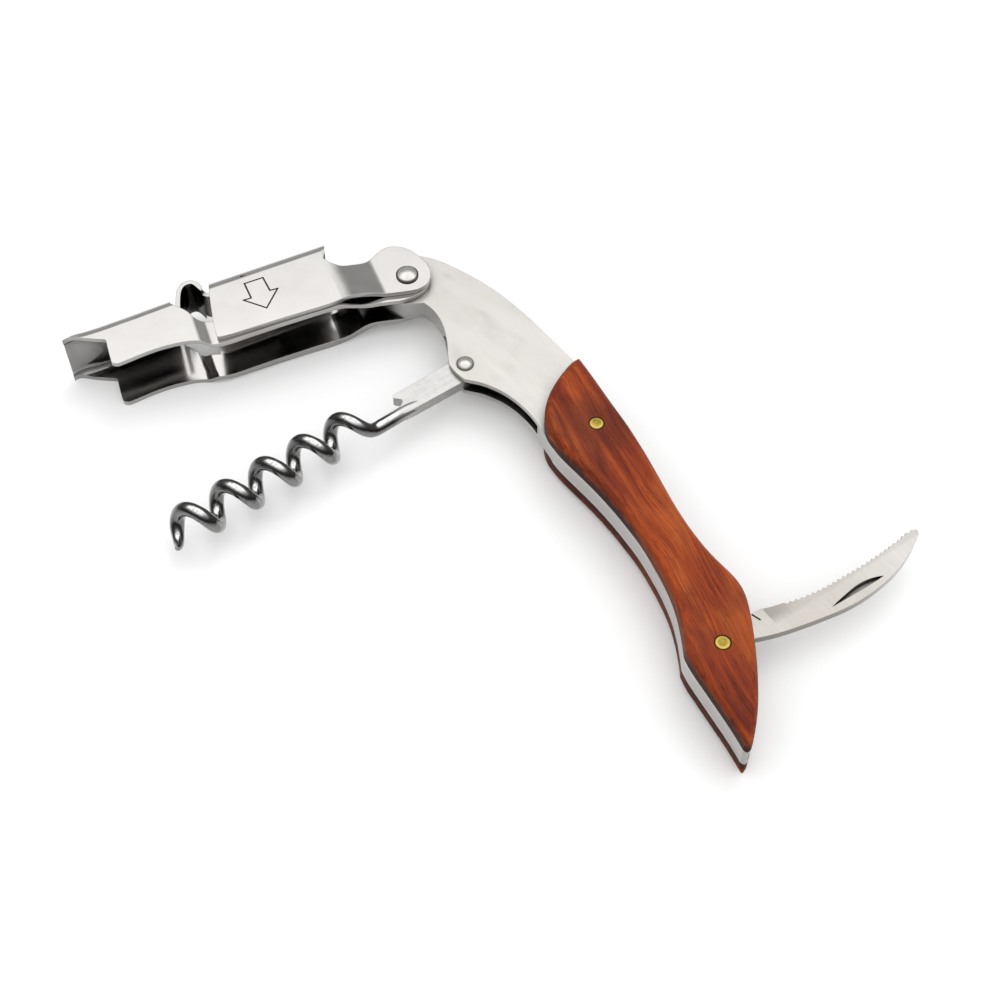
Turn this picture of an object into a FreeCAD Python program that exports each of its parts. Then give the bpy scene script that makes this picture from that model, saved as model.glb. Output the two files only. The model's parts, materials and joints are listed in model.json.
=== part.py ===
import FreeCAD, Part
import os
import math

# Waiter's corkscrew, part open: handle with bolster, two-step lever made of an
# inner arm and a sprung outer sleeve, worm on a flat tang, foil knife.
# It lies flat: +Z is up through its thickness, the handle's mid plane is z = 0,
# "front" is the +Z side and every hinge axis runs along Z. On writing, all of it
# is moved so the origin is at the bottom centre of its bounding box. Millimetres.

os.makedirs("parts", exist_ok=True)
Vec = FreeCAD.Vector

# hinge and pin centres
LEVER = (-17.68, 49.49)
WORM = (-6.44, 29.21)
HEAD_PIN = (17.07, 12.47)
TAIL_PIN = (35.95, -32.18)

# handle thicknesses, along Z
SLOT = 2.4                  # gap between the liners
LINER = 0.9
CORE = SLOT / 2 + LINER     # outer face of a liner
SCALE = 3.8                 # wooden scale
TOP = CORE + SCALE          # outer face of a scale
WOOD_R = 1.7                # rounded edge of a scale
SPACER_HALF = SLOT / 2 - 0.01

# rivets and pins
LEVER_PIN_R = 1.5
WORM_PIN_R = 1.1
BRASS_R = 1.3
SNUG = 0.02                 # radial clearance of a fixed hole
FREE = 0.05                 # radial clearance of a turning hole

# lever sheets, half widths measured to the outer face
SHEET = 0.9
WIDE = 6.1                  # foot and sleeve
NEST = 5.1                  # arm inside the sleeve
ARM_NECK = 3.08             # arm at the pivot
SLEEVE_NECK = 4.06          # sleeve at the pivot


# ---------------------------------------------------------------------------
# shared helpers; outlines are lists of ("curve" | "line", points), each run
# starting where the last one ended
# ---------------------------------------------------------------------------
def curve_through(points, z=0.0):
    curve = Part.BSplineCurve()
    curve.interpolate([Vec(x, y, z) for x, y in points])
    return curve


def spline(points, z=0.0):
    if len(points) == 2:
        return Part.makeLine(Vec(*points[0], z), Vec(*points[1], z))
    return curve_through(points, z).toShape()


def prism(outline, z0, z1):
    edges = []
    for kind, points in outline:
        if kind == "curve":
            edges.append(spline(points, z0))
        else:
            edges += [spline(pair, z0) for pair in zip(points, points[1:])]
    return Part.Face(Part.Wire(edges)).extrude(Vec(0, 0, z1 - z0))


def cylinder(centre, radius, z0, z1):
    return Part.makeCylinder(radius, z1 - z0, Vec(*centre, z0), Vec(0, 0, 1))


def drill(shape, centre, radius, reach):
    """Cut a hole along Z, from -reach to reach."""
    return shape.cut(cylinder(centre, radius, -reach, reach))


def turned(point, centre, degrees):
    angle = math.radians(degrees)
    dx, dy = point[0] - centre[0], point[1] - centre[1]
    return (centre[0] + dx * math.cos(angle) - dy * math.sin(angle),
            centre[1] + dx * math.sin(angle) + dy * math.cos(angle))


def polar(centre, radius, degrees):
    angle = math.radians(degrees)
    return (centre[0] + radius * math.cos(angle), centre[1] + radius * math.sin(angle))


def dome(centre, z, radius, height, up):
    """Spherical cap standing on plane z; up is 1 or -1."""
    ball_r = (radius * radius + height * height) / (2 * height)
    ball = Part.makeSphere(ball_r, Vec(*centre, z + (height - ball_r) * up))
    side = 4 * ball_r
    corner = Vec(centre[0] - side / 2, centre[1] - side / 2, z if up > 0 else z - side)
    return ball.common(Part.makeBox(side, side, side, corner))


# ---------------------------------------------------------------------------
# handle outline, (x, y), clockwise seen from +Z
# ---------------------------------------------------------------------------
CONVEX_HEAD = [
    (-15.51, 56.28), (-13.56, 55.75), (-11.6, 54.9), (-9.65, 53.8), (-7.7, 52.55),
    (-5.76, 51.2), (-3.83, 49.75), (-1.91, 48.15), (0.0, 46.4), (1.9, 44.45), (3.78, 42.35),
    (5.65, 40.1), (7.5, 37.7), (9.33, 35.3), (11.14, 33.0), (12.9, 30.75), (14.55, 28.2)]
CONVEX_WOOD = [
    (14.55, 28.2), (16.36, 24.95), (18.15, 21.55), (20.45, 17.1), (22.3, 13.7), (24.1, 9.95),
    (25.7, 6.4), (27.2, 2.75), (28.95, -1.6), (30.7, -5.75), (32.3, -9.0), (33.85, -11.75),
    (35.35, -14.1), (36.9, -16.15), (38.35, -17.95), (39.6, -19.7), (40.4, -21.5),
    (40.85, -23.3), (41.1, -25.2), (41.25, -27.1), (41.35, -29.0), (41.42, -31.0),
    (41.44, -33.2), (41.42, -35.4), (41.34, -37.6), (41.15, -40.6), (40.8, -43.6),
    (40.45, -45.6), (40.05, -47.4), (39.65, -48.9)]
TAIL_ARC = [(39.65, -48.9), (39.35, -49.6), (38.85, -49.92), (38.35, -49.65), (38.0, -49.0)]
CONCAVE_LOW = [
    (38.0, -49.0), (36.95, -46.75), (35.7, -44.3), (34.4, -41.9), (33.1, -39.5),
    (31.85, -37.2), (30.75, -35.05), (29.95, -32.9)]
CONCAVE_WOOD = [
    (29.95, -32.9), (29.78, -29.9), (29.35, -26.2), (28.75, -23.2), (27.95, -20.5),
    (27.05, -18.0), (26.05, -15.6), (24.95, -13.1), (23.6, -10.4), (22.0, -7.7), (20.4, -5.1),
    (18.75, -2.65), (16.95, -0.15), (15.0, 2.35), (12.8, 5.05), (11.0, 7.3), (9.5, 9.6)]
# bolster: concave edge from the scale's end up to the lever lug
CONCAVE_BOLSTER = [
    (9.5, 9.6), (8.6, 11.4), (7.7, 13.3), (6.75, 15.4), (5.45, 17.55), (3.65, 19.8),
    (1.85, 21.6), (0.0, 23.0), (-1.85, 24.05), (-3.68, 24.85), (-5.4, 25.3), (-6.5, 25.6)]
BOLSTER_STEP = [(-6.5, 25.6), (-7.6, 26.6), (-8.8, 28.15), (-9.4, 29.4)]
BOLSTER_UP = [
    (-9.4, 29.4), (-9.63, 31.3), (-9.78, 33.7), (-10.1, 36.2), (-10.65, 38.5),
    (-11.35, 40.3), (-12.3, 41.95), (-13.3, 43.2), (-14.5, 44.2)]
LUG = [
    (-14.5, 44.2), (-15.9, 44.05), (-18.2, 44.05), (-20.6, 44.95), (-22.4, 46.8),
    (-23.1, 49.5), (-22.5, 52.2), (-20.7, 54.3), (-18.2, 55.75), (-15.51, 56.28)]
# edge of a scale against the bolster
SCALE_HEAD = [
    (14.55, 28.2), (13.2, 27.4), (11.9, 25.75), (10.9, 24.2), (9.95, 22.5), (9.1, 20.6),
    (8.5, 18.8), (8.12, 17.0), (7.95, 15.3), (8.0, 13.6), (8.3, 12.0), (8.8, 10.75),
    (9.5, 9.6)]

# ---------------------------------------------------------------------------
# foil knife: open profile, (x, y); the upper edge is serrated
# ---------------------------------------------------------------------------
KNIFE_T = 1.5
KNIFE_TANG_R = 4.0          # round end of the blade about its pin
KNIFE_CLOSED = 72.5         # turn that folds it into the handle, degrees
TEETH = 26
TOOTH_DEPTH = 0.38
TEETH_START = 2.6           # plain edge before the first tooth
TEETH_END = 0.6             # plain edge after the last tooth
EDGE_HALF = 0.22            # half thickness at the ground edge
EDGE_OUT = 0.36             # the ground part of the edge is raised by this
EDGE_OUT_RUN = 2.5          # length over which it rises

KNIFE_ROOT = [(40.9, -24.35), (42.1, -23.6), (43.2, -22.98), (44.2, -22.52), (45.2, -22.28)]
EDGE_BASE = [
    (45.2, -22.28), (46.8, -21.95), (49.14, -21.2), (51.2, -20.4), (53.3, -19.4),
    (55.45, -18.2), (57.4, -17.0), (59.25, -15.8), (61.15, -14.6), (63.2, -13.15),
    (65.3, -11.6), (67.2, -10.05), (68.95, -8.6), (70.55, -7.25), (71.45, -6.75)]
KNIFE_EDGE = [
    (x, y + EDGE_OUT * min(1.0, max(0.0, (x - EDGE_BASE[0][0]) / EDGE_OUT_RUN)))
    for x, y in EDGE_BASE[:-1]] + [EDGE_BASE[-1]]
KNIFE_TIP = [(71.45, -6.75), (72.0, -6.75), (72.2, -7.3), (71.95, -8.1)]
KNIFE_BACK = [
    (71.95, -8.1), (71.3, -9.4), (70.3, -11.25), (69.0, -13.2), (67.4, -15.2),
    (65.45, -17.15), (63.3, -19.0), (60.7, -20.9), (57.9, -22.55), (54.9, -23.95),
    (52.0, -25.2), (49.1, -26.35), (46.3, -27.35), (44.0, -28.0), (42.2, -28.4)]


def tangent_angle(centre, radius, point, side):
    """Angle, in degrees, where the tangent from point touches the circle."""
    dx, dy = point[0] - centre[0], point[1] - centre[1]
    spread = math.acos(radius / math.hypot(dx, dy))
    return math.degrees(math.atan2(dy, dx) + side * spread)


TANG_UPPER = tangent_angle(TAIL_PIN, KNIFE_TANG_R, KNIFE_ROOT[0], 1)
TANG_LOWER = tangent_angle(TAIL_PIN, KNIFE_TANG_R, KNIFE_BACK[-1], -1)

GRIND_ANGLE = 34.5          # run of the ground faces, degrees
GRIND_BASE = (46.2, -26.1)  # their start, near the back
GRIND_NEAR = 0.5            # from there to the inner limit of the slope
GRIND_WIDTH = 7.4           # slope down to EDGE_HALF
GRIND_FAR = 4.0             # outer limit of the cut, beyond GRIND_WIDTH
GRIND_LENGTH = 40.0

NICK_LOWER = [(55.6, -22.45), (58.0, -20.95), (60.6, -19.3), (63.0, -17.75), (65.1, -16.25)]
NICK_UPPER = [(65.1, -16.25), (62.7, -16.85), (60.6, -17.95), (58.2, -19.95), (56.6, -21.45),
              (55.6, -22.45)]
NICK_TILT = -13
NICK_FLOOR = 0.34           # z of the nick's floor along the line between its ends


def knife_outline():
    edge = curve_through(KNIFE_EDGE)
    length = edge.length()
    tooth = (length - TEETH_START - TEETH_END) / TEETH

    def at(distance):
        parameter = edge.parameterAtDistance(distance, edge.FirstParameter)
        return edge.value(parameter), edge.tangent(parameter)[0]

    touch_upper = polar(TAIL_PIN, KNIFE_TANG_R, TANG_UPPER)
    touch_lower = polar(TAIL_PIN, KNIFE_TANG_R, TANG_LOWER)
    edges = [spline([touch_upper, KNIFE_ROOT[0]]), spline(KNIFE_ROOT)]
    plain = [KNIFE_EDGE[0]]
    for share in (1 / 3, 2 / 3, 1):
        point = at(TEETH_START * share)[0]
        plain.append((point.x, point.y))
    edges.append(spline(plain))

    start = point
    for i in range(TEETH):
        end = at(TEETH_START + tooth * (i + 1))[0]
        middle, along = at(TEETH_START + tooth * (i + 0.5))
        into_blade = Vec(along.y, -along.x, 0)
        edges.append(Part.Arc(start, middle + into_blade * TOOTH_DEPTH, end).toShape())
        start = end
    edges.append(Part.makeLine(start, Vec(*KNIFE_EDGE[-1], 0)))
    edges += [spline(KNIFE_TIP), spline(KNIFE_BACK), spline([KNIFE_BACK[-1], touch_lower])]
    half_turn = (TANG_LOWER + 360 - TANG_UPPER) / 2
    round_end = polar(TAIL_PIN, KNIFE_TANG_R, TANG_LOWER - half_turn)
    edges.append(Part.Arc(Vec(*touch_lower, 0), Vec(*round_end, 0),
                          Vec(*touch_upper, 0)).toShape())
    return Part.Wire(edges)


def grinding_wedge(side):
    """Cutter that slopes one face towards the serrated edge."""
    angle = math.radians(GRIND_ANGLE)

    def at(across, z):
        return Vec(GRIND_BASE[0] - math.sin(angle) * across,
                   GRIND_BASE[1] + math.cos(angle) * across, side * z)

    outer = GRIND_FAR + GRIND_WIDTH
    section = Part.makePolygon([
        at(GRIND_NEAR, KNIFE_T / 2), at(GRIND_NEAR + GRIND_WIDTH, EDGE_HALF),
        at(outer, EDGE_HALF - 0.25), at(outer, 3.0), at(GRIND_NEAR, 3.0),
        at(GRIND_NEAR, KNIFE_T / 2)])
    run = Vec(math.cos(angle) * GRIND_LENGTH, math.sin(angle) * GRIND_LENGTH, 0)
    return Part.Face(section).extrude(run)


def make_knife():
    knife = Part.Face(knife_outline()).extrude(Vec(0, 0, KNIFE_T))
    knife.translate(Vec(0, 0, -KNIFE_T / 2))
    knife = drill(knife, TAIL_PIN, BRASS_R + FREE, 2)
    for side in (1, -1):
        knife = knife.cut(grinding_wedge(side))

    # nail nick in the front face, deepest at its upper edge
    nick = Part.Face(Part.Wire([spline(NICK_LOWER), spline(NICK_UPPER)])).extrude(Vec(0, 0, 2.0))
    first, last = Vec(*NICK_LOWER[0], 0), Vec(*NICK_LOWER[-1], 0)
    nick.rotate(first, last - first, NICK_TILT)
    nick.translate(Vec(0, 0, NICK_FLOOR))
    knife = knife.cut(nick)

    # short straight groove in the front face, near the root
    groove = Part.makeBox(2.4, 0.28, 0.6, Vec(0, 0, 0))
    groove.rotate(Vec(0, 0, 0), Vec(0, 0, 1), -38)
    groove.translate(Vec(41.4, -23.55, KNIFE_T / 2 - 0.25))
    return knife.cut(groove)


def make_washers():
    radius, thickness, gap, clearance = 3.2, 0.4, 0.02, 0.03
    near = KNIFE_T / 2 + gap
    far = near + thickness
    return Part.makeCompound([
        drill(cylinder(TAIL_PIN, radius, z0, z1), TAIL_PIN, BRASS_R + clearance, 3)
        for z0, z1 in ((near, far), (-far, -near))])


# ---------------------------------------------------------------------------
# spacers between the liners
# ---------------------------------------------------------------------------
KNIFE_GAP = 0.22            # cavity wall to the closed knife's leading edge
TANG_GAP = 0.16             # cavity wall to its round end
PARTING = [(18.6, 20.7), (8.3, 19.2)]    # backspring's end, towards the head spacer
PARTING_GAP = 0.08
TAIL_WALL = [(38.3, -39.35), (38.75, -42.5), (39.0, -46.3), (39.2, -49.74)]
# outer edge of the backspring, from the cavity's end to the parting line
BACKSPRING_CONVEX = [(23.56, 11.1), (22.3, 13.7), (20.45, 17.1), PARTING[0]]
# side of the head spacer that clears the worm's tang
SLOT_WALL = [
    (7.5, 19.35), (5.2, 22.6), (2.0, 26.0), (-1.0, 28.2), (-2.65, 29.9), (-3.4, 31.4),
    (-5.2, 32.8), (-7.2, 33.6), (-8.9, 36.0), (-10.1, 38.2), (-10.75, 38.75)]


def knife_wall():
    """Cavity wall beside the closed knife's leading edge."""
    lead = [turned(point, TAIL_PIN, KNIFE_CLOSED) for point in KNIFE_ROOT + KNIFE_EDGE[1:]]
    wall = []
    for i, point in enumerate(lead):
        before, after = lead[max(0, i - 1)], lead[min(len(lead) - 1, i + 1)]
        dx, dy = after[0] - before[0], after[1] - before[1]
        length = math.hypot(dx, dy)
        wall.append((point[0] - dy / length * KNIFE_GAP, point[1] + dx / length * KNIFE_GAP))
    return wall


def make_backspring():
    wall = knife_wall()
    start, end, steps = TANG_UPPER + KNIFE_CLOSED, 234.4, 12
    tang_wall = [polar(TAIL_PIN, KNIFE_TANG_R + TANG_GAP, start + (end - start) * i / steps)
                 for i in range(steps + 1)]
    tip = turned(KNIFE_TIP[2], TAIL_PIN, KNIFE_CLOSED)
    outline = [
        ("curve", CONCAVE_BOLSTER[3::-1]),
        ("curve", CONCAVE_WOOD[::-1]),
        ("curve", CONCAVE_LOW[::-1]),
        ("curve", TAIL_ARC[:1:-1] + [TAIL_WALL[-1]]),
        ("line", TAIL_WALL[::-1]),
        ("line", [TAIL_WALL[0], tang_wall[-1]]),
        ("curve", tang_wall[::-1]),
        ("line", [tang_wall[0], wall[0]]),
        ("curve", wall),
        ("line", [wall[-1], (tip[0] + 0.05, tip[1] + 0.8), BACKSPRING_CONVEX[0]]),
        ("curve", BACKSPRING_CONVEX),
        ("line", PARTING + [CONCAVE_BOLSTER[3]])]
    return drill(prism(outline, -SPACER_HALF, SPACER_HALF), HEAD_PIN, BRASS_R + SNUG, 3)


def make_head_spacer():
    convex_end = (18.55, 20.75 + PARTING_GAP)
    concave_end = (PARTING[1][0], PARTING[1][1] + PARTING_GAP)
    outline = [
        ("curve", CONVEX_HEAD),
        ("curve", CONVEX_WOOD[:2] + [(17.5, 22.85), convex_end]),
        ("line", [convex_end, concave_end, SLOT_WALL[0]]),
        ("curve", SLOT_WALL),
        ("curve", [SLOT_WALL[-1]] + BOLSTER_UP[-4:]),
        ("curve", LUG)]
    return drill(prism(outline, -SPACER_HALF, SPACER_HALF), LEVER, LEVER_PIN_R + SNUG, 3)


# ---------------------------------------------------------------------------
# liners with bolster heads
# ---------------------------------------------------------------------------
def make_liner(z0, z1):
    sides = (CONVEX_HEAD, CONVEX_WOOD, TAIL_ARC, CONCAVE_LOW, CONCAVE_WOOD, CONCAVE_BOLSTER,
             BOLSTER_STEP, BOLSTER_UP, LUG)
    liner = prism([("curve", side) for side in sides], z0, z1)
    for centre, radius in ((LEVER, LEVER_PIN_R), (WORM, WORM_PIN_R),
                           (HEAD_PIN, BRASS_R), (TAIL_PIN, BRASS_R)):
        liner = drill(liner, centre, radius + SNUG, 4)
    return liner


# ---------------------------------------------------------------------------
# wooden scales: outline inset through a quarter round at the outer edge
# ---------------------------------------------------------------------------
SIDE_SPANS = [26, 14, 22, 14]   # spans on the convex, low and upper concave, head sides
ROUND_STEPS = 7
SCALE_HOLE_GAP = 0.13
TAIL_REACH = 2.5            # how far the long sides may be prolonged to meet
TAIL_STEPS = 8


def sampled(points, count=160):
    """Curve through points as (x, y, tangent x, tangent y)."""
    curve = curve_through(points)
    first, last = curve.FirstParameter, curve.LastParameter
    samples = []
    for i in range(count + 1):
        parameter = first + (last - first) * i / count
        point = curve.value(parameter)
        tangent = curve.tangent(parameter)[0]
        samples.append((point.x, point.y, tangent.x, tangent.y))
    return samples


def crossing(start_a, end_a, start_b, end_b):
    """Point where two straight segments cross, or None."""
    ax, ay = end_a[0] - start_a[0], end_a[1] - start_a[1]
    bx, by = end_b[0] - start_b[0], end_b[1] - start_b[1]
    cross = ax * by - ay * bx
    if abs(cross) < 1e-12:
        return None
    dx, dy = start_b[0] - start_a[0], start_b[1] - start_a[1]
    share_a = (dx * by - dy * bx) / cross
    share_b = (dx * ay - dy * ax) / cross
    if -1e-9 <= share_a <= 1 + 1e-9 and -1e-9 <= share_b <= 1 + 1e-9:
        return (start_a[0] + share_a * ax, start_a[1] + share_a * ay)
    return None


def resample(points, count):
    """Points at count equal distances along a polyline."""
    lengths = [0.0]
    for a, b in zip(points, points[1:]):
        lengths.append(lengths[-1] + math.hypot(b[0] - a[0], b[1] - a[1]))
    out = []
    j = 0
    for i in range(count + 1):
        target = lengths[-1] * i / count
        while j < len(lengths) - 2 and lengths[j + 1] < target:
            j += 1
        span = lengths[j + 1] - lengths[j]
        share = 0 if span < 1e-12 else (target - lengths[j]) / span
        (x0, y0), (x1, y1) = points[j], points[j + 1]
        out.append((x0 + share * (x1 - x0), y0 + share * (y1 - y0)))
    return out


def scale_sides():
    """Four sampled sides; the two long ones run on to a common point at the tail."""
    convex, low, upper, head = [
        sampled(side) for side in (CONVEX_WOOD, CONCAVE_LOW, CONCAVE_WOOD, SCALE_HEAD[::-1])]
    a, b = convex[-1], low[0]
    meet = crossing(a[:2], (a[0] + a[2] * TAIL_REACH, a[1] + a[3] * TAIL_REACH),
                    b[:2], (b[0] - b[2] * TAIL_REACH, b[1] - b[3] * TAIL_REACH))
    # the sides stay as they are if they don't meet within TAIL_REACH
    if meet is not None:
        shares = [i / TAIL_STEPS for i in range(TAIL_STEPS + 1)]
        convex = convex + [(a[0] + (meet[0] - a[0]) * f, a[1] + (meet[1] - a[1]) * f,
                            a[2], a[3]) for f in shares[1:]]
        low = [(meet[0] + (b[0] - meet[0]) * f, meet[1] + (b[1] - meet[1]) * f,
                b[2], b[3]) for f in shares[:-1]] + low
    return [convex, low, upper, head]


def find_corner(a, b):
    """Where side a, searched back from its end, meets side b: indices and point."""
    for i in range(len(a) - 1, 0, -1):
        for j in range(0, len(b) - 1):
            point = crossing(a[i - 1], a[i], b[j], b[j + 1])
            if point:
                return i, j, point
        if i < len(a) * 0.5:
            break
    # no crossing: bridge the two ends
    return len(a), -1, ((a[-1][0] + b[0][0]) / 2, (a[-1][1] + b[0][1]) / 2)


def inset_wire(sides, depth, z):
    """Closed wire of the sides moved inwards by depth and trimmed at their corners."""
    moved = [[(x + ty * depth, y - tx * depth) for x, y, tx, ty in side] for side in sides]
    corners = [find_corner(side, moved[(i + 1) % len(moved)]) for i, side in enumerate(moved)]
    edges = []
    for i, side in enumerate(moved):
        start, end = corners[i - 1], corners[i]
        points = [start[2]] + side[start[1] + 1:end[0]] + [end[2]]
        edges.append(spline(resample(points, SIDE_SPANS[i]), z))
    return Part.Wire(edges)


def make_front_scale():
    sides = scale_sides()
    shoulder = TOP - WOOD_R     # the rounding starts here
    lower = Part.Face(inset_wire(sides, 0.0, CORE)).extrude(Vec(0, 0, shoulder - CORE))
    rings = []
    for i in range(ROUND_STEPS + 1):
        angle = math.radians(90.0 * i / ROUND_STEPS)
        rings.append(inset_wire(sides, WOOD_R * (1 - math.cos(angle)),
                                shoulder + WOOD_R * math.sin(angle)))
    scale = lower.fuse(Part.makeLoft(rings, True, True)).removeSplitter()
    # trim the tail end to the liner's own outline
    scale = scale.cut(prism([
        ("curve", TAIL_ARC),
        ("line", [TAIL_ARC[-1], (34.0, -52.0), (34.0, -56.0), (44.0, -56.0), (44.0, -49.0),
                  TAIL_ARC[0]])], -1.0, 8.0))
    for centre in (HEAD_PIN, TAIL_PIN):
        scale = scale.cut(cylinder(centre, BRASS_R + SCALE_HOLE_GAP, 0, 8))
    return scale


# ---------------------------------------------------------------------------
# pins and rivets
# ---------------------------------------------------------------------------
def make_brass_pin(centre):
    half = TOP - 0.02
    pin = cylinder(centre, BRASS_R, -half, half)
    for side in (1, -1):
        pin = pin.fuse(dome(centre, side * half, BRASS_R, 0.12, side))
    return pin.removeSplitter()


def make_rivet(centre, radius, half, head_r, head_h):
    """Shank from -half to half; each head is a rim with a dome on it."""
    rim = 0.22
    rivet = cylinder(centre, radius, -half, half)
    for side in (1, -1):
        z0 = half if side > 0 else -half - rim
        rivet = rivet.fuse(cylinder(centre, head_r, z0, z0 + rim)).fuse(
            dome(centre, side * (half + rim), head_r, head_h - rim, side))
    return rivet.removeSplitter()


# ---------------------------------------------------------------------------
# lever sheets: each is a folded strip trimmed to its side profile
# ---------------------------------------------------------------------------
def jog(t0, z0, t1, z1, rise, fall, count=14):
    """Smooth step of a sheet's face from z0 to z1; the slope builds up over the
    share rise of the run and dies over the share fall."""
    slope = 1.0 / (1.0 - rise / 2 - fall / 2)
    points = []
    for i in range(count + 1):
        share = i / count
        if share < rise:
            done = slope * share * share / (2 * rise)
        elif share <= 1 - fall:
            done = slope * (share - rise / 2)
        else:
            done = 1 - slope * (1 - share) ** 2 / (2 * fall)
        points.append((t0 + (t1 - t0) * share, z0 + (z1 - z0) * done))
    return points


def folded(levels, degrees, drop):
    """Solid between a sheet's two outer faces, lowered by drop. levels are runs of
    (t, z), t being the distance from the lever pivot in the given direction."""
    angle = math.radians(degrees)
    along = Vec(math.cos(angle), math.sin(angle), 0)
    across = Vec(-math.sin(angle), math.cos(angle), 0)
    half_width = 30.0
    origin = Vec(*LEVER, 0) - across * half_width

    def at(t, z):
        return origin + along * t + Vec(0, 0, z)

    def end_line(t, z):
        return Part.makeLine(at(t, z - drop), at(t, -(z - drop)))

    def face_edges(side):
        run = []
        for kind, level in levels:
            points = [at(t, side * (z - drop)) for t, z in level]
            if kind == "line":
                run.append(Part.makeLine(points[0], points[-1]))
            else:
                curve = Part.BSplineCurve()
                back = along * -1.0
                curve.interpolate(Points=points, InitialTangent=back, FinalTangent=back)
                run.append(curve.toShape())
        return run

    edges = face_edges(1) + [end_line(*levels[-1][1][-1])]
    edges += face_edges(-1)[::-1] + [end_line(*levels[0][1][0])]
    section = Part.Face(Part.Wire(Part.__sortEdges__(edges)))
    return section.extrude(across * (2 * half_width))


def bent_envelope(curve, closing, half, radius):
    """Block under a folded spine, its two long edges rounded to the bend's radius."""
    corner = (curve[0][0], closing[-1][1])
    block = prism([("curve", curve), ("line", [curve[-1]] + closing + [corner, curve[0]])],
                  -half, half)
    start, end = Vec(*curve[0], 0), Vec(*curve[-1], 0)
    edges = []
    for edge in block.Edges:
        if len(edge.Vertexes) < 2:
            continue
        first, last = edge.Vertexes[0].Point, edge.Vertexes[-1].Point
        if abs(first.z - last.z) > 1e-6:
            continue
        a, b = Vec(first.x, first.y, 0), Vec(last.x, last.y, 0)
        if any(a.distanceToPoint(p) < 1e-4 and b.distanceToPoint(q) < 1e-4
               for p, q in ((start, end), (end, start))):
            edges.append(edge)
    return block.makeFillet(radius, edges)


def offset_in(points, depth):
    """Copy of a nearly straight curve moved inwards, down and to the right."""
    (x0, y0), (x1, y1) = points[0], points[-1]
    length = math.hypot(x1 - x0, y1 - y0)
    dx, dy = (y1 - y0) / length * depth, -(x1 - x0) / length * depth
    return [(x + dx, y + dy) for x, y in points]


def folded_sheet(levels, degrees, profile, spine, closing, core_closing, radius):
    """Sheet folded along spine: outer block trimmed to profile, less its core."""
    outer = folded(levels, degrees, 0.0).common(bent_envelope(spine, closing, WIDE, radius))
    core = folded(levels, degrees, SHEET).common(
        bent_envelope(offset_in(spine, SHEET), core_closing, WIDE - SHEET, radius - SHEET))
    sheet = outer.common(prism(profile, -8, 8)).cut(core)
    return drill(sheet, LEVER, LEVER_PIN_R + FREE, 9)


# ---- arm, side profile (x, y) ----------------------------------------------
ARM_DIR = 200.0             # direction of the arm from the pivot, degrees
ARM_BEND_R = 2.6            # outer radius of the folded spine
ARM_SPINE = [
    (-80.75, 33.0), (-79.3, 34.05), (-77.5, 34.75), (-75.7, 35.48), (-73.95, 36.28),
    (-72.2, 37.18), (-70.4, 38.05), (-67.0, 39.81), (-63.5, 41.61), (-62.0, 42.38)]
ARM_FOOT_LOW = [(-80.35, 31.55), (-78.7, 32.35), (-77.1, 32.15), (-75.0, 31.9), (-72.7, 31.72)]
ARM_LOW = [
    (-69.1, 26.1), (-67.3, 27.1), (-65.6, 28.1), (-63.9, 29.0), (-62.15, 29.8),
    (-60.35, 30.45), (-58.6, 31.0), (-56.8, 31.35), (-54.9, 31.4), (-53.0, 31.3),
    (-51.3, 31.6), (-49.6, 32.2), (-47.9, 33.0), (-46.1, 33.85), (-44.4, 34.6),
    (-42.6, 35.45), (-40.8, 36.25), (-37.2, 37.8), (-33.6, 39.35), (-30.0, 40.8),
    (-28.1, 41.5), (-26.3, 42.25), (-24.5, 42.85), (-22.6, 43.3), (-20.75, 43.6),
    (-18.9, 43.85)]
ARM_LUG = [
    (-18.9, 43.85), (-17.4, 44.4), (-16.0, 45.15), (-14.6, 46.4), (-13.65, 48.1),
    (-13.35, 49.8), (-13.75, 51.7), (-15.1, 53.5), (-17.2, 54.5), (-19.6, 54.2),
    (-21.4, 53.0), (-23.2, 51.6)]
ARM_TOP = [
    (-23.2, 51.6), (-26.0, 50.2), (-29.0, 48.6), (-33.0, 46.6), (-38.0, 44.1),
    (-43.0, 41.6), (-47.0, 39.6), (-50.0, 38.0), (-52.0, 37.1), (-54.0, 36.75),
    (-56.2, 36.85)]
ARM_CUT = [
    (-56.2, 36.85), (-56.95, 37.35), (-58.1, 38.5), (-59.2, 39.25), (-60.5, 39.95),
    (-61.5, 40.55)]


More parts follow.
